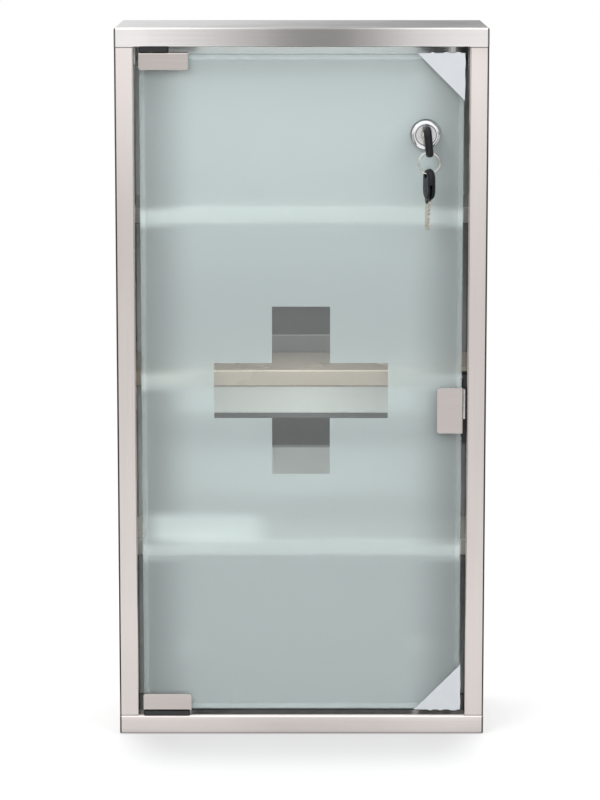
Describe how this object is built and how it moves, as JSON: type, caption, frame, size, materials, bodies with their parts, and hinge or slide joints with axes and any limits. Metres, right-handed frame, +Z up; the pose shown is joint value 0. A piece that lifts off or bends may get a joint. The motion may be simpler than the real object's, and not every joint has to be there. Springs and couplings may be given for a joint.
{
  "type": "lockable medicine cabinet",
  "caption": "Upright wall cabinet of folded stainless sheet with shelves, a pivot-hung frosted glass door with a clear cross window, a magnetic catch and a cam lock with folding keys.",
  "frame": {"origin": "centre of the cabinet underside, where it stands", "axes": "+X to the right seen from the front, +Y to the back, +Z up"},
  "size_m": [0.305, 0.1509, 0.59],
  "materials": {
    "stainless_steel": "bright satin stainless sheet, softly mirror-like",
    "plated_steel": "zinc plated steel",
    "black_nylon": "moulded black nylon",
    "ferrite": "sintered dark grey ferrite",
    "frosted_glass": "toughened glass, frosted on the rear face but for a clear cross",
    "black_rubber": "soft black rubber sheet",
    "clear_liner": "thin clear liner strip",
    "white_guard": "white folded film with a soft sheen",
    "chrome_plate": "polished chrome plate",
    "nickel_silver": "plain nickel silver, rolled and cut",
    "black_moulding": "moulded black plastic with a light sheen",
    "ring_wire": "bright spring wire"
  },
  "bodies": {
    "carcass": {"top_panel": "stainless_steel", "bottom_panel": "stainless_steel", "left_side": "stainless_steel", "right_side": "stainless_steel", "back_panel": "stainless_steel", "back_rivets": "plated_steel", "upper_shelf": "stainless_steel", "middle_shelf": "stainless_steel", "lower_shelf": "stainless_steel", "shelf_studs": "plated_steel", "upper_bush": "black_nylon", "lower_bush": "black_nylon", "catch_housing": "black_nylon", "catch_magnet": "ferrite", "catch_poles": "plated_steel", "catch_screws": "plated_steel"},
    "door": {"door_glass": "frosted_glass", "upper_clamp": "stainless_steel", "lower_clamp": "stainless_steel", "upper_pad": "black_rubber", "lower_pad": "black_rubber", "upper_pivot": "plated_steel", "lower_pivot": "plated_steel", "clamp_screws": "plated_steel", "striker_clip": "stainless_steel", "striker_liner": "clear_liner", "upper_guard": "white_guard", "lower_guard": "white_guard", "lock_body": "chrome_plate", "lock_gasket": "black_rubber", "lock_washer": "plated_steel", "lock_nut": "plated_steel"},
    "plug": {"lock_plug": "chrome_plate", "lock_cam": "plated_steel", "cam_screw": "plated_steel"},
    "key": {"key_blade": "nickel_silver", "key_collar": "black_moulding"},
    "bow": {"key_head": "black_moulding", "key_rivet": "nickel_silver"},
    "ring": {"key_ring": "ring_wire"},
    "spare_bow": {"spare_head": "black_moulding", "spare_rivet": "nickel_silver"},
    "spare_key": {"spare_blade": "nickel_silver", "spare_collar": "black_moulding"}
  },
  "joints": [
    {"name": "door_hinge", "type": "hinge", "parent": "carcass", "child": "door", "pos_m": [-0.12225, -0.0612, 0.295], "axis": [0, 0, -1], "range_deg": [0, 140]},
    {"name": "lock_turn", "type": "hinge", "parent": "door", "child": "plug", "pos_m": [0.10135, -0.0668, 0.5031], "axis": [0, -1, 0], "range_deg": [-6, 84]},
    {"name": "key_slide", "type": "slide", "parent": "plug", "child": "key", "axis": [0, -1, 0], "range_m": [0, 0.0225]},
    {"name": "key_fold", "type": "hinge", "parent": "key", "child": "bow", "pos_m": [0.10135, -0.07785, 0.5031], "axis": [-0.9945, 0, -0.1045], "range_deg": [0, 90]},
    {"name": "ring_swing", "type": "hinge", "parent": "bow", "child": "ring", "pos_m": [0.10375, -0.07785, 0.49078], "axis": [-0.9945, 0, -0.1045], "range_deg": [-2, 75]},
    {"name": "spare_swing", "type": "hinge", "parent": "ring", "child": "spare_bow", "pos_m": [0.10375, -0.07785, 0.47159], "axis": [-0.9511, -0.309, 0], "range_deg": [-2, 60]},
    {"name": "spare_fold", "type": "hinge", "parent": "spare_bow", "child": "spare_key", "pos_m": [0.1027, -0.07819, 0.45909], "axis": [-0.9511, -0.309, 0], "range_deg": [0, 90]}
  ]
}
